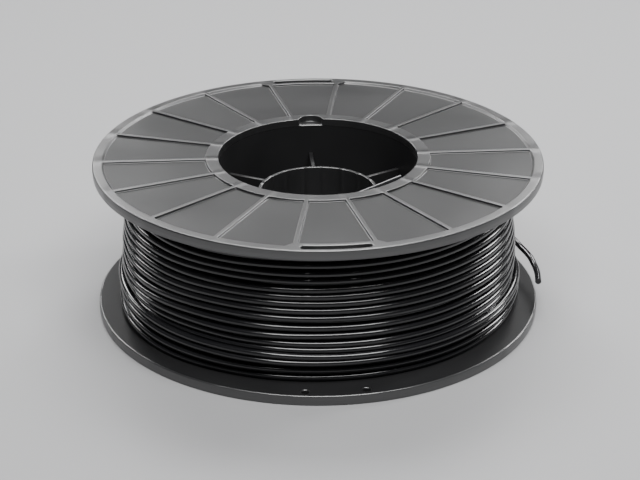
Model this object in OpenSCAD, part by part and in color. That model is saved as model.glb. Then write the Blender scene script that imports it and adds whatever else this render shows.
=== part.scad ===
// Filament spool: two ribbed flanges, a drum core with a webbed bore tube, and one wound strand.
// Origin on the spool's axis at the underside of the bottom flange, +Z along the axis.

/* [Spool] */
// Outer diameter of both flanges
flange_d = 200; // [190:1:210]
// Overall width, outer face to outer face
spool_w = 70.6; // [66:0.1:76]
// Thickness of a flange at its rim
flange_t = 4.6; // [4.2:0.1:5.4]
// Diameter of the hole through both flanges, and of the drum's inside
hub_hole_d = 88.6; // [84:0.1:92]

/* [Flange face] */
// Number of radial ribs on each outer face
rib_count = 18; // [12:1:24]
// Width of a radial rib
rib_w = 1.9; // [1.4:0.1:2.4]
// Depth of the panels between the ribs
panel_depth = 1; // [0.6:0.1:1.4]
// Width of the raised band at the rim
band_w = 4.7; // [4.2:0.1:6]
// Width of the raised ring around the hub hole
ring_w = 5.7; // [5:0.1:8]
// Radius of the small roundings on the rim's edges
edge_r = 0.4; // [0.2:0.1:0.8]

/* [Filament-end channels] */
// Width of a channel
channel_w = 3.2; // [3:0.1:3.6]
// Depth of a channel
channel_depth = 2.6; // [2:0.1:3]
// Half of the angle between the centres of a channel's two ends
channel_half_angle = 7.6; // [6:0.1:8]
// Diameter of the hole at each end of a channel
end_hole_d = 3.1; // [2.9:0.1:3.2]

/* [Drive notch] */
// Diameter of the half-round notch in the hub ring
notch_d = 11; // [8:0.5:11]
// Depth of the notch
notch_depth = 3; // [2:0.1:3.4]

/* [Core] */
// Wall thickness of the drum
drum_wall = 3.2; // [2.4:0.1:4]
// Depth that the drum's ends seat in the flanges
seat_depth = 1; // [0.6:0.1:1.4]
// Bore diameter of the central tube
bore_d = 50.8; // [48:0.1:54]
// Wall thickness of the central tube
tube_wall = 1.5; // [1.2:0.1:2]
// Length of the central tube
tube_len = 37.4; // [30:0.1:44]
// Thickness of the webs that carry the tube
web_t = 1.9; // [1.5:0.1:2.5]

/* [Filament] */
// Diameter of the strand
strand_d = 2.85; // [2.8:0.05:3]
// Radius of the winding at its fullest, low on the drum
winding_r = 91.5; // [80:0.1:92]
// How much slimmer the winding is at its top
winding_taper = 6; // [0:0.5:10]

/* [Hidden] */

$fn = 96;

flange_r = flange_d / 2;
hub_r = hub_hole_d / 2;
drum_r = hub_r + drum_wall;
ring_r = hub_r + ring_w;
band_r = flange_r - band_w;
floor_t = flange_t - panel_depth;

// Ribs sit half a pitch either side of the channels' axis.
rib_pitch = 360 / rib_count;
channel_az = 94.5;
rib_az = channel_az - rib_pitch / 2;

// The channels lie in the rim's band, which is wider there.
channel_r = flange_r - 3.8;
pad_r = flange_r - 7.5;
pad_half_angle = 10.6;
pad_slant = 1.7;

// The notch is centred a little inside the hub hole's edge.
notch_r = hub_r - 0.9;

tube_r = bore_d / 2 + tube_wall;
tube_z = (spool_w - tube_len) / 2;
web_count = 6;
web_az = 34.5;
web_h = tube_len - 0.6;
web_overrun = 2;

// The winding fills the groove, and is fullest a little above the bottom flange.
wind_gap = 0.1;
wind_z0 = flange_t + wind_gap;
wind_z1 = spool_w - flange_t - wind_gap;
wind_full_z = wind_z0 + 6;

// Route of the strand's outer end, from where it leaves the winding to its cut tip.
outer_route = [
  [67.5, 63.5, 16], [72, 59, 16], [76.5, 54.5, 16], [80.5, 50, 15.5],
  [84.5, 45, 15.5], [87.5, 40, 15.5], [90.5, 34.5, 15], [93, 29, 15],
  [95, 23.5, 14.5], [97, 17.5, 14.5], [98.5, 11.5, 14.5], [99.5, 5.5, 14],
  [100, -0.5, 14], [100, -6.5, 14], [99.5, -12.5, 14]
];

// Route of the strand's start end, from inside the drum's wall to its tip under the hub ring.
start_route = [
  [-6.5, -45.6, 61.5], [-3.5, -43.9, 61.9], [-0.5, -42.2, 62.4], [2.5, -40.5, 62.9],
  [5.5, -38.8, 63.3], [8.5, -37.1, 63.8], [11.5, -35.4, 64.3], [14.5, -33.7, 64.8],
  [17.5, -32, 65.3], [20.5, -30.2, 65.8], [23.5, -28.4, 66.3], [26.5, -26.6, 66.8],
  [29.5, -24.8, 67.3], [32.5, -22.9, 67.8], [36, -20.6, 68.3]
];

// The start end comes through a hole in the drum's wall that lies along its first stretch.
start_hole_d = 4;
start_hole_len = 12;

function unit(v) = v / norm(v);
function tangent(route, i) =
  unit(route[min(i + 1, len(route) - 1)] - route[max(i - 1, 0)]);

// One ring of a swept strand: sides points about the route's point i.
function ring(route, i, r, sides) =
  let (t = tangent(route, i), side = unit(cross(t, [0, 0, 1])), up = cross(side, t))
  [for (k = [0:sides - 1])
    route[i] + r * (cos(360 * k / sides) * side + sin(360 * k / sides) * up)];

// Turns +Z to point from p to q, with p as the origin.
module along(p, q) {
  d = q - p;
  translate(p)
    rotate([0, acos(d.z / norm(d)), atan2(d.y, d.x)])
      children();
}

module strand(route, d, sides = 8) {
  n = len(route);
  points = [for (i = [0:n - 1]) each ring(route, i, d / 2, sides)];
  walls = [for (i = [0:n - 2], k = [0:sides - 1])
    let (a = i * sides, b = a + sides, m = (k + 1) % sides)
    [a + k, b + k, b + m, a + m]];
  first_cap = [for (k = [0:sides - 1]) k];
  last_cap = [for (k = [sides - 1:-1:0]) (n - 1) * sides + k];
  polyhedron(points, concat(walls, [first_cap, last_cap]));
}

// A flat arc-shaped slot with round ends, centred on the +X axis.
module arc_slot(r, w, half_angle, h) {
  rotate([0, 0, -half_angle])
    rotate_extrude(angle = 2 * half_angle)
      translate([r - w / 2, 0])
        square([w, h]);
  for (s = [-1, 1])
    rotate([0, 0, s * half_angle])
      translate([r, 0, 0])
        cylinder(d = w, h = h);
}

// Half of the flange's cross-section, with its inner face at z = 0.
module flange_section() {
  polygon([
    [hub_r, 0], [flange_r - edge_r, 0], [flange_r, edge_r], [flange_r, flange_t - edge_r],
    [flange_r - edge_r, flange_t], [band_r, flange_t], [band_r, floor_t],
    [ring_r, floor_t], [ring_r, flange_t], [hub_r, flange_t]
  ]);
}

module ribs() {
  for (i = [0:rib_count - 1])
    rotate([0, 0, rib_az + i * rib_pitch])
      translate([ring_r - 0.5, -rib_w / 2, floor_t - 0.5])
        cube([band_r - ring_r + 1, rib_w, panel_depth + 0.5]);
}

// The wider stretch of the rim's band that holds a channel.
module channel_pad() {
  a = pad_half_angle;
  b = pad_half_angle + pad_slant;
  translate([0, 0, floor_t - 0.5])
    linear_extrude(panel_depth + 0.5)
      polygon(concat(
        [for (t = [-a:a / 8:a]) pad_r * [cos(t), sin(t)]],
        [for (t = [b:-b / 8:-b]) (band_r + 1) * [cos(t), sin(t)]]
      ));
}

// One moulded flange, with its inner face at z = 0 and its ribbed face upward.
module flange() {
  difference() {
    union() {
      rotate_extrude() flange_section();
      ribs();
      for (side = [0, 180])
        rotate([0, 0, channel_az + side]) channel_pad();
    }
    for (side = [0, 180])
      rotate([0, 0, channel_az + side]) {
        translate([0, 0, flange_t - channel_depth])
          arc_slot(channel_r, channel_w, channel_half_angle, channel_depth + 1);
        for (s = [-1, 1])
          rotate([0, 0, s * channel_half_angle])
            translate([channel_r, 0, -1])
              cylinder(d = end_hole_d, h = flange_t);
      }
    rotate([0, 0, channel_az])
      translate([notch_r, 0, flange_t - notch_depth])
        cylinder(d = notch_d, h = notch_depth + 1);
    translate([0, 0, -1])
      cylinder(r = drum_r, h = seat_depth + 1);
  }
}

module top_flange() {
  color("dimgray")
    translate([0, 0, spool_w - flange_t]) flange();
}

// The same moulding turned over about the channels' axis.
module bottom_flange() {
  color("dimgray")
    rotate([0, 0, channel_az])
      translate([0, 0, flange_t])
        rotate([180, 0, 0])
          rotate([0, 0, -channel_az]) flange();
}

module drum() {
  drum_h = spool_w - 2 * flange_t + 2 * seat_depth;
  color("darkslategray")
    difference() {
      translate([0, 0, flange_t - seat_depth])
        difference() {
          cylinder(r = drum_r, h = drum_h);
          translate([0, 0, -1]) cylinder(r = hub_r, h = drum_h + 2);
        }
      along(start_route[0], start_route[1])
        cylinder(d = start_hole_d, h = start_hole_len, center = true);
    }
}

module bore_tube() {
  color("darkslategray")
    translate([0, 0, tube_z])
      difference() {
        cylinder(r = tube_r, h = tube_len);
        translate([0, 0, -1]) cylinder(d = bore_d, h = tube_len + 2);
      }
}

// One flat web. Its blank runs past both walls, and its ends are cut to their curves.
module web(i) {
  color("darkslategray")
    translate([0, 0, (spool_w - web_h) / 2])
      intersection() {
        rotate([0, 0, web_az + (i - 1) * 360 / web_count])
          translate([tube_r - web_overrun, -web_t / 2, 0])
            cube([hub_r - tube_r + 2 * web_overrun, web_t, web_h]);
        difference() {
          cylinder(r = hub_r, h = web_h);
          translate([0, 0, -1]) cylinder(r = tube_r, h = web_h + 2);
        }
      }
}

module web_1() { web(1); }
module web_2() { web(2); }
module web_3() { web(3); }
module web_4() { web(4); }
module web_5() { web(5); }
module web_6() { web(6); }

// The wound turns as one plain closed ring, whose outer face leans in towards the top.
module filament_winding() {
  color("black")
    rotate_extrude()
      polygon([
        [drum_r, wind_z0], [winding_r - 1, wind_z0], [winding_r, wind_full_z],
        [winding_r - winding_taper / 2, (wind_full_z + wind_z1) / 2],
        [winding_r - winding_taper, wind_z1], [drum_r, wind_z1]
      ]);
}

module filament_outer_end() {
  color("black") strand(outer_route, strand_d);
}

module filament_start_end() {
  color("black") strand(start_route, strand_d);
}

top_flange();
bottom_flange();
drum();
bore_tube();
web_1();
web_2();
web_3();
web_4();
web_5();
web_6();
filament_winding();
filament_outer_end();
filament_start_end();
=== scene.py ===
"""Looks of a filament spool: moulded flanges and hub, and the wound strand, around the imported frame.

Lengths are in millimetres in the shape code, and meshes are made in metres by MM.
"""

import math
from functools import partial

import bmesh
import bpy
import numpy as np
from mathutils import Matrix, Vector


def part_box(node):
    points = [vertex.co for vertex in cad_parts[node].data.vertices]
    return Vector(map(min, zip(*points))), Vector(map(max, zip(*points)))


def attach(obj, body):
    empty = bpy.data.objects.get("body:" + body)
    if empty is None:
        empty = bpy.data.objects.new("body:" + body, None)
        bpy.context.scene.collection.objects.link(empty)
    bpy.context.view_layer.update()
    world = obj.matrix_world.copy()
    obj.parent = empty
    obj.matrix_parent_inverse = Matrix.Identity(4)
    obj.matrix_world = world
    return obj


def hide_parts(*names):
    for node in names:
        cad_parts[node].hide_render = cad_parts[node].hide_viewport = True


MM = 0.001
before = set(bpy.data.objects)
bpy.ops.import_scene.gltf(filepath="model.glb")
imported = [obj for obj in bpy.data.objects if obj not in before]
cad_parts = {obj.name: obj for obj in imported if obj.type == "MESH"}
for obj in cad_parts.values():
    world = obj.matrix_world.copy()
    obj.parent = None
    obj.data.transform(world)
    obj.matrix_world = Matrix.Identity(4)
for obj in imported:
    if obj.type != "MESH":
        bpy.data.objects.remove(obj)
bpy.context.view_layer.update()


# ---------------------------------------------------------------- sizes read from the frame

def radii(node):
    """Smallest and largest distance of a CAD node's points from the spool's axis, in mm."""
    xy = np.array([v.co[:2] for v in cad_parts[node].data.vertices])
    r = np.hypot(xy[:, 0], xy[:, 1]) / MM
    return float(r.min()), float(r.max())


def heights(node):
    """Lowest and highest z of a CAD node, in mm."""
    low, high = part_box(node)
    return low.z / MM, high.z / MM


HUB_R, FLANGE_R = radii("top_flange")
DRUM_R = radii("drum")[1]
TUBE_IN_R, TUBE_R = radii("bore_tube")
TUBE_Z = heights("bore_tube")
WEB_Z = heights("web_1")
DRUM_Z = heights("drum")
SPOOL_W = heights("top_flange")[1]
FLANGE_T = heights("bottom_flange")[1]
SEAT_DEPTH = FLANGE_T - DRUM_Z[0]

# ---------------------------------------------------------------- sizes of the looks

# Azimuth of a channel, and the sectors of a flange: one panel each, with a rib between two
CHANNEL_AZ = 94.5
SECTORS = 18
HALF_ROUND = SECTORS // 2
SECTOR = 360 / SECTORS
RIB_W = 1.9
PANEL_DEPTH = 1.0
# The panels lie between the hub's ring and the rim's band
RING_R = HUB_R + 5.7
BAND_R = FLANGE_R - 4.7
# The band is wider around a channel, out to this angle from the channel's middle
PAD_R = FLANGE_R - 7.5
PAD_END = 12.3
# A channel's centre line, and the angle from its middle to the centre of its round end
CHANNEL_R = FLANGE_R - 3.8
CHANNEL_W = 3.2
CHANNEL_DEPTH = 2.6
CHANNEL_END = 7.6
# The drive notch, centred a little inside the hub's edge
NOTCH_R = 5.5
NOTCH_AT = HUB_R - 0.9
NOTCH_DEPTH = 3.0
NOTCH_STEPS = 24
# The rim's wall leans in by this much from its parting line to its edges
RIM_DRAFT = 0.15
# Half of the parting line's height, and how far it stands out
PARTING_H = 0.1
PARTING_OUT = 0.03
# Rounding of a flange's edges at the rim and its channels, and the share of it elsewhere
EDGE = 0.6
INNER_EDGE = 0.5
# Edges sharper than this many degrees are rounded, and points closer than this are one
SHARP = 40
WELD = 0.002

WEB_W = 1.9
WEB_AZ = [34.5 + 60 * i for i in range(6)]
WEB_EDGE = 0.7
TUBE_EDGE = 0.6

STRAND_D = 2.85
# The two free ends' middle lines, as in the part's source
OUTER_ROUTE = [
    (67.5, 63.5, 16), (72, 59, 16), (76.5, 54.5, 16), (80.5, 50, 15.5),
    (84.5, 45, 15.5), (87.5, 40, 15.5), (90.5, 34.5, 15), (93, 29, 15),
    (95, 23.5, 14.5), (97, 17.5, 14.5), (98.5, 11.5, 14.5), (99.5, 5.5, 14),
    (100, -0.5, 14), (100, -6.5, 14), (99.5, -12.5, 14),
]
START_ROUTE = [
    (-6.5, -45.6, 61.5), (-3.5, -43.9, 61.9), (-0.5, -42.2, 62.4), (2.5, -40.5, 62.9),
    (5.5, -38.8, 63.3), (8.5, -37.1, 63.8), (11.5, -35.4, 64.3), (14.5, -33.7, 64.8),
    (17.5, -32, 65.3), (20.5, -30.2, 65.8), (23.5, -28.4, 66.3), (26.5, -26.6, 66.8),
    (29.5, -24.8, 67.3), (32.5, -22.9, 67.8), (36, -20.6, 68.3),
]


# ---------------------------------------------------------------- camera

def make_camera():
    """The photograph's view: a long lens, 25 degrees above the table, square on to the spool."""
    elevation = math.radians(25.03)
    distance = 0.8232
    aim = Vector((0.0009, 0, 0.0288))
    back = Vector((0, -math.cos(elevation), math.sin(elevation)))
    data = bpy.data.cameras.new("camera")
    data.sensor_width = 36
    data.lens = 101.86
    data.clip_start = 0.05
    data.clip_end = 20
    camera = bpy.data.objects.new("camera", data)
    camera.location = aim + back * distance
    camera.rotation_euler = (math.pi / 2 - elevation, 0, 0)
    bpy.context.scene.collection.objects.link(camera)
    bpy.context.scene.camera = camera


# ---------------------------------------------------------------- mesh helpers

def polar(r, degrees):
    a = math.radians(degrees)
    return (r * math.cos(a), r * math.sin(a))


def arc(r, start, end, step=1.0):
    """Points of an arc about the axis, both ends included."""
    n = max(1, round(abs(end - start) / step))
    return [polar(r, start + (end - start) * i / n) for i in range(n + 1)]


def cap(centre_az, start, end, steps=12):
    """Points of a channel's round end, about a centre on the channel's own arc."""
    cx, cy = polar(CHANNEL_R, centre_az)
    points = []
    for i in range(steps + 1):
        a = math.radians(centre_az + start + (end - start) * i / steps)
        points.append((cx + CHANNEL_W / 2 * math.cos(a), cy + CHANNEL_W / 2 * math.sin(a)))
    return points


class Solid:
    """Collects flat faces given as outlines, and welds them into one mesh."""

    def __init__(self):
        self.bm = bmesh.new()

    def face(self, outline, z, material=0):
        """A level face, from (x, y) points."""
        face = self.bm.faces.new([self.bm.verts.new((x, y, z)) for x, y in outline])
        face.material_index = material

    def wall(self, line, low, high, low_line=None):
        """Upright quads under a line of points, from z low to z high."""
        low_line = low_line or line
        for (a, b), (c, d) in zip(zip(line, line[1:]), zip(low_line, low_line[1:])):
            corners = [(*c, low), (*d, low), (*b, high), (*a, high)]
            self.bm.faces.new([self.bm.verts.new(p) for p in corners])

    def finish(self, name):
        """Welds the faces, marks the edges to round, and makes the object in metres."""
        bmesh.ops.remove_doubles(self.bm, verts=self.bm.verts, dist=WELD)
        bmesh.ops.recalc_face_normals(self.bm, faces=self.bm.faces)
        weight = self.bm.edges.layers.float.new("bevel_weight_edge")
        rim_r = CHANNEL_R - CHANNEL_W / 2 - 0.1
        for edge in self.bm.edges:
            if edge.calc_face_angle(0) > math.radians(SHARP):
                on_rim = min(v.co.xy.length for v in edge.verts) > rim_r
                edge[weight] = 1 if on_rim else INNER_EDGE
        bmesh.ops.scale(self.bm, vec=(MM, MM, MM), verts=self.bm.verts)
        return new_object(name, self.bm)


def new_object(name, bm):
    """A smooth-shaded object in the scene, made from a bmesh."""
    mesh = bpy.data.meshes.new(name)
    bm.to_mesh(mesh)
    bm.free()
    mesh.shade_smooth()
    obj = bpy.data.objects.new(name, mesh)
    bpy.context.scene.collection.objects.link(obj)
    return obj


def round_edges(obj, width):
    """Rounds the marked edges, in the piece's first material."""
    bevel = obj.modifiers.new("edges", "BEVEL")
    bevel.limit_method = "WEIGHT"
    bevel.width = width * MM
    bevel.segments = 3
    bevel.material = 0
    bevel.use_clamp_overlap = False
    normals = obj.modifiers.new("normals", "WEIGHTED_NORMAL")
    normals.weight = 100
    normals.keep_sharp = False


# ---------------------------------------------------------------- flanges

def pocket_outline(sector):
    """Outline of the recessed panel in one sector, anticlockwise, about the channels' axis."""
    middle = sector * SECTOR
    half = SECTOR / 2
    in_gap = math.degrees(math.asin(RIB_W / 2 / RING_R))
    out_gap = math.degrees(math.asin(RIB_W / 2 / BAND_R))
    pad_gap = math.degrees(math.asin(RIB_W / 2 / PAD_R))
    inner = arc(RING_R, middle + half - in_gap, middle - half + in_gap)
    phase = sector % HALF_ROUND
    if phase == 0:
        outer = arc(PAD_R, middle - half + pad_gap, middle + half - pad_gap)
    elif phase == 1:
        outer = [polar(PAD_R, middle - half + pad_gap)]
        outer += arc(BAND_R, middle - SECTOR + PAD_END, middle + half - out_gap)
    elif phase == HALF_ROUND - 1:
        outer = arc(BAND_R, middle - half + out_gap, middle + SECTOR - PAD_END)
        outer += [polar(PAD_R, middle + half - pad_gap)]
    else:
        outer = arc(BAND_R, middle - half + out_gap, middle + half - out_gap)
    return outer, inner


def channel_outline(middle):
    """The four stretches of a channel's outline: outer arc, far end, inner arc, near end."""
    low, high = middle - CHANNEL_END, middle + CHANNEL_END
    return (
        arc(CHANNEL_R + CHANNEL_W / 2, low, high),
        cap(high, 0, 180),
        arc(CHANNEL_R - CHANNEL_W / 2, high, low),
        cap(low, 180, 360),
    )


def notch_line():
    """The drive notch's curved wall, from one side of the hub's edge to the other."""
    x = (HUB_R**2 + NOTCH_AT**2 - NOTCH_R**2) / (2 * NOTCH_AT)
    y = math.sqrt(HUB_R**2 - x**2)
    first = math.degrees(math.atan2(-y, x - NOTCH_AT))
    line = []
    for i in range(NOTCH_STEPS + 1):
        a = math.radians(first - 2 * first * i / NOTCH_STEPS)
        line.append((NOTCH_AT + NOTCH_R * math.cos(a), NOTCH_R * math.sin(a)))
    return line, math.degrees(math.atan2(y, x))


def sector_top(solid, sector, top):
    """The level faces of one sector's ring, rib and rim band."""
    middle = sector * SECTOR
    start, end = middle - SECTOR / 2, middle + SECTOR / 2
    outer, inner = pocket_outline(sector)
    hub = arc(HUB_R, start, end)
    if sector == 0:
        line, half = notch_line()
        hub = arc(HUB_R, start, -half)[:-1] + line + arc(HUB_R, half, end)[1:]
    solid.face(hub + [polar(RING_R, end)] + inner + [polar(RING_R, start)], top)
    rim = arc(FLANGE_R - RIM_DRAFT, start, end)
    phase = sector % HALF_ROUND
    start_r = PAD_R if phase in (0, 1) else BAND_R
    end_r = PAD_R if phase in (0, HALF_ROUND - 1) else BAND_R
    near, far = [polar(start_r, start)], [polar(end_r, end)]
    if phase in (0, 1):
        near.append(polar(CHANNEL_R, start))
    if phase in (0, HALF_ROUND - 1):
        far.insert(0, polar(CHANNEL_R, end))
    if phase:
        solid.face(rim + far + outer[::-1] + near, top)
        return
    out_arc, far_end, in_arc, near_end = channel_outline(middle)
    half_cap = len(far_end) // 2
    solid.face(
        rim + [far[0]] + far_end[half_cap::-1] + out_arc[-2:0:-1]
        + near_end[:half_cap - 1:-1] + [near[-1]], top)
    solid.face(
        [far[0], far[1]] + outer[::-1] + [near[0], near[-1]]
        + near_end[half_cap::-1] + in_arc[-2:0:-1] + far_end[:half_cap - 1:-1], top)


def flange(name):
    """One moulding, with its inner face at z = 0 and its ribbed face up, about the channels' axis."""
    top, floor = FLANGE_T, FLANGE_T - PANEL_DEPTH
    solid = Solid()
    for sector in range(SECTORS):
        middle = sector * SECTOR
        start, end = middle - SECTOR / 2, middle + SECTOR / 2
        sector_top(solid, sector, top)
        outer, inner = pocket_outline(sector)
        loop = outer + inner
        solid.face(loop, floor, material=1)
        solid.wall(loop + [loop[0]], floor, top)
        rib = [inner[0], polar(RING_R, end)]
        after_outer, after_inner = pocket_outline((sector + 1) % SECTORS)
        rib += [after_inner[-1], after_outer[0]]
        rib_end = PAD_R if sector % HALF_ROUND in (0, HALF_ROUND - 1) else BAND_R
        rib += [polar(rib_end, end), outer[-1]]
        solid.face(rib, top)
        rim(solid, start, end)
    underside(solid)
    hub_wall(solid, top)
    for middle in (0, 180):
        channel(solid, middle, top)
    obj = solid.finish(name)
    round_edges(obj, EDGE)
    return obj


def rim(solid, start, end):
    """The rim's wall, with a little draft to each side of a raised parting line."""
    half = FLANGE_T / 2
    levels = [
        (0, RIM_DRAFT), (half - PARTING_H, PARTING_OUT), (half, 0),
        (half + PARTING_H, PARTING_OUT), (FLANGE_T, RIM_DRAFT),
    ]
    for (z0, in0), (z1, in1) in zip(levels, levels[1:]):
        solid.wall(arc(FLANGE_R - in1, start, end), z0, z1, arc(FLANGE_R - in0, start, end))


def underside(solid):
    """The inner face, with the seat for the drum's end and the small holes of the channels."""
    edge = FLANGE_R - RIM_DRAFT
    for sector in range(SECTORS):
        middle = sector * SECTOR
        start, end = middle - SECTOR / 2, middle + SECTOR / 2
        if sector % HALF_ROUND:
            solid.face(arc(edge, start, end) + arc(DRUM_R, end, start), 0, material=2)
            continue
        low, high = middle - CHANNEL_END, middle + CHANNEL_END
        low_out, low_in = cap(low, 360, 180), cap(low, 0, 180)
        high_out, high_in = cap(high, 0, 180), cap(high, 360, 180)
        # The face is cut through the holes, at whole degrees, where the arcs have their points.
        low, high = round(low), round(high)
        solid.face(arc(edge, start, low) + low_out + arc(DRUM_R, low, start), 0, material=2)
        between = arc(edge, low, high) + high_in + arc(DRUM_R, high, low) + low_in[::-1]
        solid.face(between, 0, material=2)
        solid.face(arc(edge, high, end) + arc(DRUM_R, end, high) + high_out[::-1], 0, material=2)
    solid.wall(arc(DRUM_R, 0, 360), 0, SEAT_DEPTH)


def hub_wall(solid, top):
    """The hub hole's wall with the drive notch in it, and the seat's ring under it."""
    line, half = notch_line()
    side, shelf = SECTOR / 2, top - NOTCH_DEPTH
    sill = arc(HUB_R, -half, half)
    before, after = arc(HUB_R, -side, -half), arc(HUB_R, half, side)
    for stretch in (before, after, arc(HUB_R, side, 360 - side)):
        solid.wall(stretch, SEAT_DEPTH, shelf)
        solid.wall(stretch, shelf, top)
    solid.face(arc(DRUM_R, -side, side) + (before + sill[1:] + after[1:])[::-1], SEAT_DEPTH)
    for sector in range(1, SECTORS):
        start, end = sector * SECTOR - side, sector * SECTOR + side
        solid.face(arc(DRUM_R, start, end) + arc(HUB_R, end, start), SEAT_DEPTH)
    solid.wall(sill, SEAT_DEPTH, shelf)
    solid.face(line + sill[-2:0:-1], shelf)
    solid.wall(line, shelf, top)


def channel(solid, middle, top):
    """A filament-end channel, whose round ends go on through the flange as holes."""
    out_arc, far_end, in_arc, near_end = channel_outline(middle)
    floor = top - CHANNEL_DEPTH
    low, high = middle - CHANNEL_END, middle + CHANNEL_END
    far_sill, near_sill = cap(high, 360, 180), cap(low, 0, 180)
    solid.wall(out_arc, floor, top)
    solid.wall(in_arc, floor, top)
    for end_wall, sill in ((far_end, far_sill), (near_end, near_sill)):
        solid.wall(end_wall, floor, top)
        solid.wall(end_wall, 0, floor)
        solid.wall(sill, 0, floor)
    solid.face(out_arc + far_sill[1:-1] + in_arc + near_sill[-2:0:-1], floor)


def place_flanges():
    """Both flanges in place: the upper one face up, and the same moulding turned over below."""
    turn = Matrix.Rotation(math.radians(CHANNEL_AZ), 4, "Z")
    upper = flange("top_flange_moulding")
    upper.data.transform(Matrix.Translation((0, 0, (SPOOL_W - FLANGE_T) * MM)) @ turn)
    lower = flange("bottom_flange_moulding")
    lower.data.transform(Matrix.Translation((0, 0, FLANGE_T * MM)) @ turn
                         @ Matrix.Rotation(math.pi, 4, "X"))
    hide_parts("top_flange")
    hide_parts("bottom_flange")
    return [upper, lower]


# ---------------------------------------------------------------- hub

def lathe(name, profile, steps=180):
    """A closed ring turned about the axis, from an outline of (r, z) points."""
    solid = Solid()
    rings = []
    for r, z in profile:
        rings.append([solid.bm.verts.new((*polar(r, 360 * i / steps), z)) for i in range(steps)])
    for low, high in zip(rings, rings[1:] + rings[:1]):
        for i in range(steps):
            j = (i + 1) % steps
            solid.bm.faces.new([low[i], low[j], high[j], high[i]])
    return solid.finish(name)


def bore_tube():
    """The central tube, with rounded ends."""
    low, high = TUBE_Z
    wall = [(TUBE_IN_R, low), (TUBE_R, low), (TUBE_R, high), (TUBE_IN_R, high)]
    tube = lathe("bore_tube_moulding", wall)
    round_edges(tube, TUBE_EDGE)
    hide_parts("bore_tube")
    return tube


def webs():
    """The six flat webs as one mesh, each a rounded plate that runs a little into both walls."""
    solid = Solid()
    into_wall = 0.3
    inner, outer = TUBE_R - into_wall, HUB_R + into_wall
    corners = [(inner, -WEB_W / 2), (outer, -WEB_W / 2), (outer, WEB_W / 2), (inner, WEB_W / 2)]
    for az in WEB_AZ:
        c, s = polar(1, az)
        loop = [(x * c - y * s, x * s + y * c) for x, y in corners]
        solid.face(loop, WEB_Z[0])
        solid.face(loop, WEB_Z[1])
        solid.wall(loop + [loop[0]], *WEB_Z)
    plates = solid.finish("hub_webs")
    round_edges(plates, WEB_EDGE)
    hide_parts(*[f"web_{i + 1}" for i in range(len(WEB_AZ))])
    return plates


# ---------------------------------------------------------------- filament

# Points of the strand in one turn, and the angle between two of them
BINS = 144
STEP = 360 / BINS
STRAND_SIDES = 14
TAIL_SIDES = 20
# Distance between neighbouring turns, a little over the strand's thickness
PITCH = 3.02
# Least distance between turns, as a share of the strand's thickness
CLOSE = 1.005
# Lowest and highest middle of a strand beside the flanges
FLANGE_GAP = 0.03
Z_LOW = FLANGE_T + STRAND_D / 2 + FLANGE_GAP
Z_HIGH = SPOOL_W - FLANGE_T - STRAND_D / 2 - FLANGE_GAP
EXIT = OUTER_ROUTE[0]
# What a layer adds to the radius, and how many layers are laid; a plain ring stands in for the
# lowest of them, which can't be seen
LAYER = 2.62
LAYERS = 4
HIDDEN_LAYERS = 2
# More turns than a layer holds
MOST_TURNS = 21
# How far a turn may slip aside into the grooves beneath it, in strand thicknesses
SLIP = 0.55
SLIP_STEPS = 15
# What it costs a turn to lie aside, to move aside from point to point, and to start elsewhere
# than the last turn ended, against a rise of 1 mm
ASIDE_COST = 0.12
MOVE_COST = 10.0
START_COST = 40
# Stands for a strand too far away to touch
FAR_OFF = -99.0
# A turn that would stand this far past its flange, in strand thicknesses, turns the strand back
TURN_BACK = 0.45
# How far turns stray up and down, in mm, within a turn and over several turns
STRAY = 0.50
LONG_STRAY = 0.70
# Points over which a turn's height is eased, over which it rises onto what is beneath it, and in
# which it comes back to its own way after the last turn, and points tried beyond a turn's end
EASE = 4
BEND = 5
JOIN = 6
AHEAD = 16
# Length of the last stretch, which leads out to the free end
LEAD_OUT = 70


def smooth_noise(rng, count, scale):
    """Random values along the strand that change slowly, over about scale samples."""
    knots = rng.standard_normal(count // scale + 4)
    x = np.arange(count) / scale
    i = x.astype(int)
    t = x - i
    p0, p1, p2, p3 = (knots[i + k] for k in range(4))
    return 0.5 * (2 * p1 + (p2 - p0) * t + (2 * p0 - 5 * p1 + 4 * p2 - p3) * t**2
                  + (3 * p1 - p0 - 3 * p2 + p3) * t**3)


def support(z, core, below_r, below_z):
    """Least radius at which a strand at height z clears the core and the strands already laid."""
    gap = np.abs(z[..., None] - below_z[:, None, :])
    lift = np.sqrt(np.clip(STRAND_D**2 - gap**2, 0, None))
    rests = np.where(gap < STRAND_D, below_r[:, None, :] + lift, 0)
    return np.maximum(core(z) + STRAND_D / 2, rests.max(-1, initial=0))


def rolling_mean(values, reach):
    """Each value averaged with those on both sides of it, the near ones most."""
    weights = np.hanning(2 * reach + 3)[1:-1]
    return np.convolve(np.pad(values, reach, mode="edge"), weights / weights.sum(), mode="valid")


def rolling_max(values, reach):
    """The greatest value within reach on both sides of each."""
    padded = np.pad(values, reach, mode="edge")
    return np.max([padded[k:k + len(values)] for k in range(2 * reach + 1)], axis=0)


def settle(wanted, core, below_r, below_z, first_shift):
    """How far one turn slips aside into the grooves beneath it: the cheapest smooth way."""
    shifts = np.linspace(-SLIP, SLIP, SLIP_STEPS) * STRAND_D
    z = np.clip(wanted[:, None] + shifts[None, :], Z_LOW, Z_HIGH)
    cost = support(z, core, below_r, below_z) + ASIDE_COST * shifts[None, :] ** 2
    slide = MOVE_COST * (shifts[:, None] - shifts[None, :]) ** 2
    total = cost[0] + START_COST * (shifts - first_shift) ** 2
    came_from = []
    for row in cost[1:]:
        step = total[None, :] + slide
        came_from.append(step.argmin(1))
        total = step.min(1) + row
    best = [int(total.argmin())]
    for back in came_from[::-1]:
        best.append(int(back[best[-1]]))
    return shifts[best[::-1]]


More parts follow.
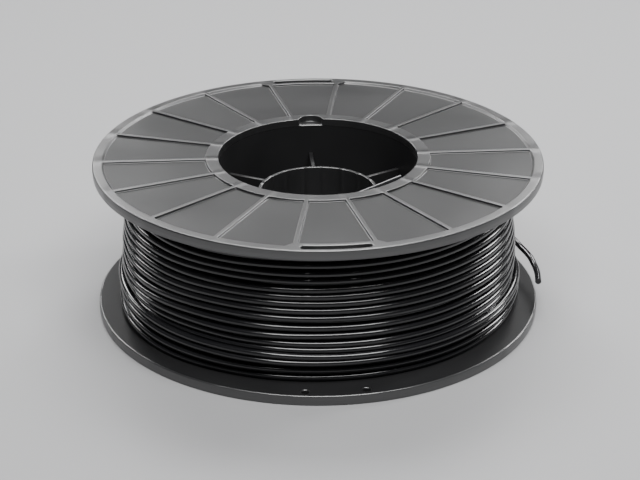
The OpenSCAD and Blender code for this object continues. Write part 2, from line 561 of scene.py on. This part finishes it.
class Course:
    """Where the winder guides the strand: up and down, turning back at each flange."""

    def __init__(self, stray):
        self.stray = stray
        self.layer = np.full(len(stray), -1)
        self.starts = [0]
        self.start_z = Z_LOW
        self.way = 1

    def aim(self, i, turn_before):
        """The height wanted at point i, beside the turn before it where that is in its layer."""
        number = len(self.starts) - 1
        since = i - self.starts[-1]
        height = self.start_z + self.way * PITCH * since / BINS + self.stray[i]
        if turn_before is not None and self.layer[i - BINS] == number:
            beside = turn_before + self.way * STRAND_D * CLOSE
            height = max(height, beside) if self.way > 0 else min(height, beside)
            over = height - Z_HIGH if self.way > 0 else Z_LOW - height
            if over > TURN_BACK * STRAND_D and since > BINS:
                self.start_z = height - self.way * over
                self.starts.append(i)
                self.way = -self.way
        self.layer[i] = len(self.starts) - 1
        return height


def carried_on(line, before):
    """The line with its start moved to where the strand was, and eased back to its own way."""
    return line + (before - line[0]) * np.exp(-np.arange(len(line)) / JOIN)


def lay(core, seed=11):
    """Lays the strand turn by turn on a core: its centres as r and z, and the first point seen.

    A layer goes on until the next turn has no room beside the flange, and then the strand turns
    back. The last layer stops short, at the height where the free end leaves.
    """
    rng = np.random.default_rng(seed)
    most = (LAYERS + 1) * MOST_TURNS * BINS
    stray = STRAY * smooth_noise(rng, most, BINS // 2)
    stray = stray + LONG_STRAY * smooth_noise(rng, most, 3 * BINS)
    course = Course(stray)
    r, z = np.zeros(most), np.zeros(most)
    shift = 0.0
    for start in range(0, most - BINS, BINS):
        index = np.arange(start, start + BINS + AHEAD)
        below = index[:, None] - np.arange(1, start // BINS + 2)[None, :] * BINS
        known = (below >= 0) & (below < start)
        below_r = np.where(known, r[below.clip(0)], FAR_OFF)
        below_z = np.where(known, z[below.clip(0)], FAR_OFF)
        wanted = np.array([
            course.aim(i, turn_before if laid else None)
            for i, turn_before, laid in zip(index, below_z[:, 0], known[:, 0])
        ])
        wanted = rolling_mean(np.clip(wanted, Z_LOW, Z_HIGH), EASE)
        eased = rolling_mean(settle(wanted, core, below_r, below_z, shift), EASE)
        line = np.clip(wanted + eased, Z_LOW, Z_HIGH)
        if start:
            line = carried_on(line, z[start - 1])
        z[index] = line
        lead = min(start, 2 * BEND)
        rests = support(line[:, None], core, below_r, below_z)[:, 0]
        rests = np.concatenate([r[start - lead:start], rests])
        rise = rolling_mean(rolling_max(rests, BEND - 2), BEND)[lead:]
        if start:
            rise = carried_on(rise, r[start - 1])
        r[index] = rise
        shift = eased[BINS]
        if len(course.starts) > LAYERS and z[start:start + BINS].mean() > EXIT[2]:
            break
    end = start + BINS
    first_seen = course.starts[HIDDEN_LAYERS]
    return rolling_mean(r[:end], EASE), rolling_mean(z[:end], EASE - 1), first_seen


def winding_profile():
    """The winding's outer line in the frame, as (z, r), without the points near the drum."""
    xyz = np.array([v.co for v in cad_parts["filament_winding"].data.vertices]) / MM
    xyz = xyz[np.hypot(xyz[:, 0], xyz[:, 1]) > DRUM_R + 9]
    outer = {(round(float(z), 1), round(math.hypot(x, y), 1)) for x, y, z in xyz}
    return np.array(sorted(outer)).T


def wind():
    """Lays the strand three times, each time on a core that brings the outside nearer the frame's.

    Gives the strand's centres, the first point that can be seen, and the core's radius by height.
    """
    line_z, line_r = winding_profile()
    levels = np.linspace(Z_LOW, Z_HIGH, 9)
    proud, level_reach, share, most = 0.3, 4, 0.8, 2
    target = np.interp(levels, line_z, line_r) + proud
    base = target - LAYERS * LAYER
    for _ in range(3):
        r, z, first = lay(partial(np.interp, xp=levels, fp=base))
        outside = []
        for level in levels:
            near = np.abs(z - level) < level_reach
            top = np.zeros(BINS)
            np.maximum.at(top, np.flatnonzero(near) % BINS, r[near] + STRAND_D / 2)
            outside.append(top[top > 0].mean())
        base = base + np.clip(share * (target - outside), -most, most)
    return r, z, first, partial(np.interp, xp=levels, fp=base)


def join_to_exit(r, z):
    """Leads the last stretch of the winding out to where the free end leaves it."""
    exit_r = math.hypot(EXIT[0], EXIT[1])
    radial = Vector(EXIT[:2]).normalized()
    onward = (Vector(OUTER_ROUTE[1]) - Vector(EXIT)).normalized()
    slope = onward.x * radial.x + onward.y * radial.y
    left = np.arange(len(r) - 1, -1, -1) * math.radians(STEP) * exit_r
    t = np.clip(1 - left / LEAD_OUT, 0, 1)
    t = t * t * (3 - 2 * t)
    r[:] = r * (1 - t) + (exit_r - slope * left) * t
    z[:] = z * (1 - t) + EXIT[2] * t


def tube(name, points, sides):
    """A round strand along the points, with flat cut ends and a UV of length by turn, in metres."""
    tangent = np.gradient(points, axis=0)
    tangent /= np.linalg.norm(tangent, axis=1)[:, None]
    out = np.cross(tangent, (0, 0, 1))
    out /= np.linalg.norm(out, axis=1)[:, None]
    up = np.cross(out, tangent)
    angle = (np.arange(sides) * 2 * math.pi / sides)[None, :, None]
    ring = np.cos(angle) * out[:, None] + np.sin(angle) * up[:, None]
    co = (points[:, None] + STRAND_D / 2 * ring).reshape(-1, 3) * MM
    side = np.arange(sides)
    row = np.arange(len(points) - 1)[:, None] * sides
    here, beside = row + side, row + (side + 1) % sides
    faces = np.stack([here, here + sides, beside + sides, beside], -1).reshape(-1, 4).tolist()
    faces.append(list(range(sides)))
    faces.append(list(range(len(co) - 1, len(co) - 1 - sides, -1)))
    mesh = bpy.data.meshes.new(name)
    mesh.from_pydata(co.tolist(), [], faces)
    lay_out_uv(mesh, points, sides)
    mesh.validate()
    mesh.shade_smooth()
    mesh.set_sharp_from_angle(angle=math.radians(60))
    obj = bpy.data.objects.new(name, mesh)
    bpy.context.scene.collection.objects.link(obj)
    return obj


def lay_out_uv(mesh, points, sides):
    """A strand's UV: metres along it, and the share of a turn around it."""
    lengths = np.linalg.norm(np.diff(points, axis=0), axis=1)
    along = np.concatenate([[0], np.cumsum(lengths)]) * MM
    u0, u1 = np.repeat(along[:-1], sides), np.repeat(along[1:], sides)
    v0 = np.tile(np.arange(sides) / sides, len(lengths))
    v1 = v0 + 1 / sides
    quads = np.stack([u0, v0, u1, v0, u1, v1, u0, v1], -1).ravel()
    cut_ends = np.zeros(4 * sides)
    uv = mesh.uv_layers.new(name="strand")
    uv.data.foreach_set("uv", np.concatenate([quads, cut_ends]).astype(np.float32))


def winding():
    """The wound strand's outer layers, and the ring that stands in for those under them."""
    r, z, first, core_r = wind()
    join_to_exit(r, z)
    exit_az = math.atan2(EXIT[1], EXIT[0])
    az = exit_az + np.arange(len(r) - 1, -1, -1) * math.radians(STEP)
    points = np.stack([r * np.cos(az), r * np.sin(az), z], -1)[first:]
    strand = tube("filament_turns", points, STRAND_SIDES)
    inner, below_layers, past_ends = DRUM_R + 0.2, 0.4, 1.3
    low, high = Z_LOW - past_ends, Z_HIGH + past_ends
    profile = [(inner, low)]
    for h in np.linspace(low, high, 24):
        profile.append((float(core_r(h)) + HIDDEN_LAYERS * LAYER - below_layers, float(h)))
    profile.append((inner, high))
    core = lathe("filament_inner_layers", profile, BINS)
    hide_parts("filament_winding")
    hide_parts("filament_winding")
    return [strand, core]


def spline(route, spacing=1.2):
    """A smooth line through the route's points."""
    p = np.array(route, float)
    p = np.concatenate([[2 * p[0] - p[1]], p, [2 * p[-1] - p[-2]]])
    line = []
    for a, b, c, d in zip(p, p[1:], p[2:], p[3:]):
        count = max(2, round(float(np.linalg.norm(c - b)) / spacing))
        t = (np.arange(count) / count)[:, None]
        line.append(0.5 * (2 * b + (c - a) * t + (2 * a - 5 * b + 4 * c - d) * t**2
                           + (3 * b - a - 3 * c + d) * t**3))
    line.append(p[-2][None])
    return np.concatenate(line)


def free_end(name, route, node):
    """A stretch of strand that stands free."""
    line = spline(route)
    piece = tube(name, line, TAIL_SIDES)
    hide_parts(node)
    return piece


# ---------------------------------------------------------------- stage

# Soft lights: name, place, the point aimed at, size (all in metres) and power in watts
LIGHTS = [
    ("overhead_front", (0.06, -0.42, 0.90), (0, 0, 0.04), (0.80, 0.45), 17),
    ("overhead_back", (0, 0.56, 0.86), (0, 0, 0.06), (0.60, 0.40), 11),
    ("far_left", (-0.46, 1.05, 0.72), (0, 0, 0.05), (0.40, 0.30), 5.4),
    ("far_right", (0.46, 1.05, 0.72), (0, 0, 0.05), (0.40, 0.30), 5.4),
    ("side_left", (-0.80, 0.50, 0.44), (0, 0, 0.04), (0.08, 0.36), 1.6),
    ("side_right", (0.78, 0.44, 0.50), (0, 0, 0.04), (0.15, 0.36), 5.2),
]


def area_light(name, at, aim, size, power):
    """A rectangular light, facing the point it is aimed at."""
    data = bpy.data.lights.new(name, "AREA")
    data.shape = "RECTANGLE"
    data.size, data.size_y = size
    data.energy = power
    light = bpy.data.objects.new(name, data)
    light.location = at
    light.rotation_euler = (Vector(aim) - Vector(at)).to_track_quat("-Z", "Y").to_euler()
    bpy.context.scene.collection.objects.link(light)


def make_stage():
    """A plain pale floor, a dim even surround and the soft lights."""
    bm = bmesh.new()
    bmesh.ops.create_grid(bm, x_segments=2, y_segments=2, size=4)
    floor = new_object("floor", bm)
    material = bpy.data.materials.new("floor")
    material.use_nodes = True
    shader = material.node_tree.nodes["Principled BSDF"]
    shader.inputs["Base Color"].default_value = (0.30, 0.30, 0.305, 1)
    shader.inputs["Roughness"].default_value = 0.7
    floor.data.materials.append(material)
    world = bpy.data.worlds.new("studio")
    world.use_nodes = True
    background = world.node_tree.nodes["Background"]
    background.inputs["Color"].default_value = (0.8, 0.82, 0.85, 1)
    background.inputs["Strength"].default_value = 0.10
    bpy.context.scene.world = world
    for light in LIGHTS:
        area_light(*light)


# ---------------------------------------------------------------- materials

class Nodes:
    """Short calls to make and link a material's nodes."""

    def __init__(self, name):
        self.material = bpy.data.materials.new(name)
        self.material.use_nodes = True
        self.tree = self.material.node_tree
        self.shader = self.tree.nodes["Principled BSDF"]

    def plug(self, socket, value):
        """Links an output to a socket, or sets the socket to a plain value."""
        if isinstance(value, bpy.types.NodeSocket):
            self.tree.links.new(value, socket)
        elif value is not None:
            socket.default_value = value

    def math(self, operation, a, b=None, c=None):
        node = self.tree.nodes.new("ShaderNodeMath")
        node.operation = operation
        for socket, value in zip(node.inputs, (a, b, c)):
            self.plug(socket, value)
        return node.outputs[0]

    def noise(self, vector, scale, detail=2.0, roughness=0.5):
        """Noise of 0..1, with about scale features to a unit of the vector."""
        node = self.tree.nodes.new("ShaderNodeTexNoise")
        self.plug(node.inputs["Vector"], vector)
        node.inputs["Scale"].default_value = scale
        node.inputs["Detail"].default_value = detail
        node.inputs["Roughness"].default_value = roughness
        return node.outputs["Fac"]

    def span(self, value, low, high):
        """Maps 0..1 to low..high."""
        node = self.tree.nodes.new("ShaderNodeMapRange")
        node.clamp = False
        self.plug(node.inputs["Value"], value)
        node.inputs["To Min"].default_value = low
        node.inputs["To Max"].default_value = high
        return node.outputs["Result"]

    def blend(self, factor, dark, light):
        """A colour between two, by the factor."""
        node = self.tree.nodes.new("ShaderNodeMix")
        node.data_type = "RGBA"
        self.plug(node.inputs["Factor"], factor)
        node.inputs["A"].default_value = (*dark, 1)
        node.inputs["B"].default_value = (*light, 1)
        return node.outputs["Result"]

    def bump(self, height, depth, normal=None):
        """A normal raised by the height times the depth in metres, on top of another normal."""
        node = self.tree.nodes.new("ShaderNodeBump")
        node.inputs["Strength"].default_value = 1
        node.inputs["Distance"].default_value = depth
        self.plug(node.inputs["Height"], height)
        if normal is not None:
            self.plug(node.inputs["Normal"], normal)
        return node.outputs["Normal"]

    def place(self):
        """The point on the object, in metres."""
        return self.tree.nodes.new("ShaderNodeTexCoord").outputs["Object"]

    def split(self, vector):
        node = self.tree.nodes.new("ShaderNodeSeparateXYZ")
        self.plug(node.inputs[0], vector)
        return node.outputs


def sink_marks(n, xyz):
    """Faint dips over each rib where it meets the hub ring and the rim band."""
    azimuth = n.math("ARCTAN2", xyz["Y"], xyz["X"])
    turn = n.math("MULTIPLY_ADD", azimuth, SECTORS, -math.radians(CHANNEL_AZ + SECTOR / 2) * SECTORS)
    ridge = n.math("POWER", n.math("MULTIPLY_ADD", n.math("COSINE", turn), 0.5, 0.5), 7)
    squares = [n.math("MULTIPLY", xyz[axis], xyz[axis]) for axis in ("X", "Y")]
    radius = n.math("SQRT", n.math("ADD", *squares))
    ring = n.math("LESS_THAN", radius, RING_R * MM)
    band = n.math("GREATER_THAN", radius, BAND_R * MM)
    return n.math("MULTIPLY", ridge, n.math("ADD", ring, band))


def spool_plastic(name, roughness, specular, grain, depth, waves, marks=False):
    """Moulded black plastic: uneven gloss, a fine mould grain and slow waves in the surface."""
    n = Nodes(name)
    where = n.place()
    cloudy = n.noise(where, 33, 2)
    fine = n.noise(where, grain, 2, 0.6)
    colour = n.blend(cloudy, (0.010, 0.010, 0.0105), (0.017, 0.017, 0.0175))
    n.plug(n.shader.inputs["Base Color"], colour)
    n.plug(n.shader.inputs["Roughness"], n.span(cloudy, roughness - 0.04, roughness + 0.04))
    normal = n.bump(n.noise(where, 28, 0), waves)
    if marks:
        normal = n.bump(sink_marks(n, n.split(where)), 0.00025, normal)
    n.plug(n.shader.inputs["Normal"], n.bump(fine, depth, normal))
    n.shader.inputs["Specular IOR Level"].default_value = specular
    n.shader.inputs["IOR"].default_value = 1.59
    return n.material


def filament():
    """Glossy extruded strand, with faint die lines along it and slow changes of gloss."""
    n = Nodes("filament")
    where = n.place()
    uv = n.tree.nodes.new("ShaderNodeUVMap")
    uv.uv_map = "strand"
    along = n.split(uv.outputs["UV"])
    lines = n.tree.nodes.new("ShaderNodeCombineXYZ")
    n.plug(lines.inputs["X"], n.math("MULTIPLY", along["X"], 6))
    n.plug(lines.inputs["Y"], n.math("MULTIPLY", along["Y"], 8))
    die = n.noise(lines.outputs["Vector"], 1, 2)
    haze = n.noise(where, 50, 0)
    colour = n.blend(haze, (0.006, 0.006, 0.007), (0.011, 0.011, 0.012))
    n.plug(n.shader.inputs["Base Color"], colour)
    n.plug(n.shader.inputs["Roughness"], n.span(haze, 0.09, 0.21))
    normal = n.bump(n.noise(where, 45, 0), 0.00008)
    n.plug(n.shader.inputs["Normal"], n.bump(die, 0.000002, normal))
    n.shader.inputs["Specular IOR Level"].default_value = 0.6
    return n.material


def dress(pieces, materials):
    """Gives pieces their materials; own pieces also get a slot and the body they ride on."""
    for piece in pieces:
        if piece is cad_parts["drum"]:
            piece.material_slots[0].material = materials[0]
            continue
        for material in materials:
            piece.data.materials.append(material)
        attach(piece, "root")


make_camera()
free_ends = [free_end("filament_outer_tail", OUTER_ROUTE, "filament_outer_end"),
             free_end("filament_start_tail", START_ROUTE, "filament_start_end")]
make_stage()
# Polished ribs and bands, grained panels, and the duller inner faces
smooth = spool_plastic("spool_smooth", roughness=0.31, specular=1.0, grain=900, depth=0.000006,
                       waves=0.0003, marks=True)
grained = spool_plastic("spool_grained", roughness=0.42, specular=0.20, grain=1500, depth=0.000010,
                        waves=0.0012)
inner = spool_plastic("spool_inner_face", roughness=0.42, specular=0.08, grain=1200, depth=0.000006,
                      waves=0.0003)
dress(place_flanges(), [smooth, grained, inner])
dress([bore_tube(), webs()], [smooth])
dress([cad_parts["drum"]], [inner])
dress([*winding(), *free_ends], [filament()])
